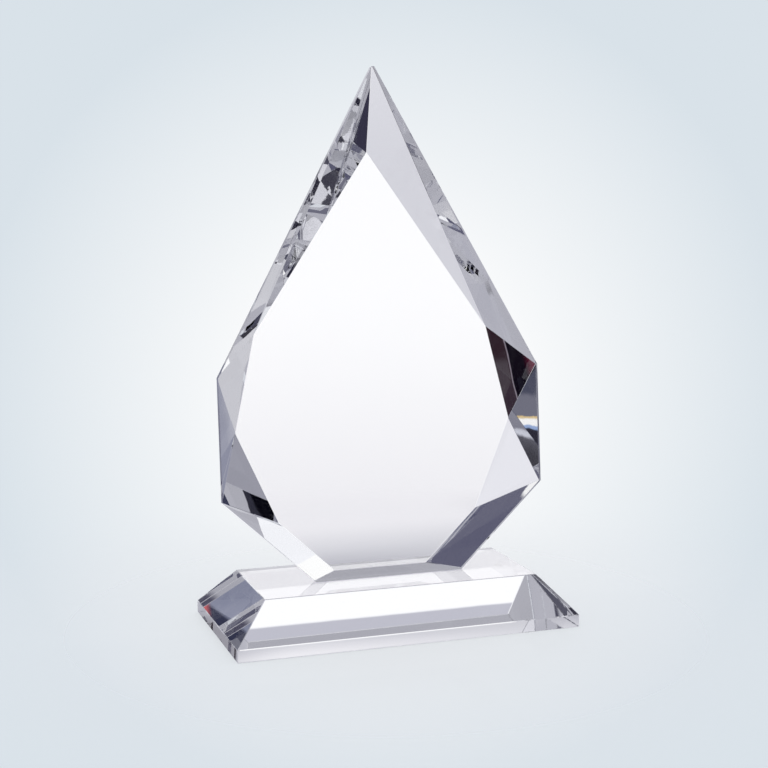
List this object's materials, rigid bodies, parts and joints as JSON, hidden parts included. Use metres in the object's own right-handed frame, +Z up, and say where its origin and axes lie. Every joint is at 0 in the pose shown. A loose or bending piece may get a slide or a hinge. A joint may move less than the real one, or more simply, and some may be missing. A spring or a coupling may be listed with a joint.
{
  "type": "crystal award",
  "caption": "Clear faceted pointed tablet leaning back on a bevelled rectangular crystal block, for engraving and display.",
  "frame": {"origin": "middle of the block's underside, on the surface the award stands on", "axes": "+Z up, the clear front face looks towards -Y and leans back towards +Y, +X to the right of someone facing it"},
  "size_m": [0.127, 0.0636, 0.201],
  "materials": {
    "base_crystal": "polished clear optical crystal, ground bevels",
    "tablet_crystal": "polished clear optical crystal, ground facets",
    "clear_adhesive": "cured clear optical adhesive"
  },
  "bodies": {
    "root": {"crystal_base": "base_crystal", "crystal_tablet": "tablet_crystal", "adhesive_bond": "clear_adhesive"}
  },
  "joints": []
}
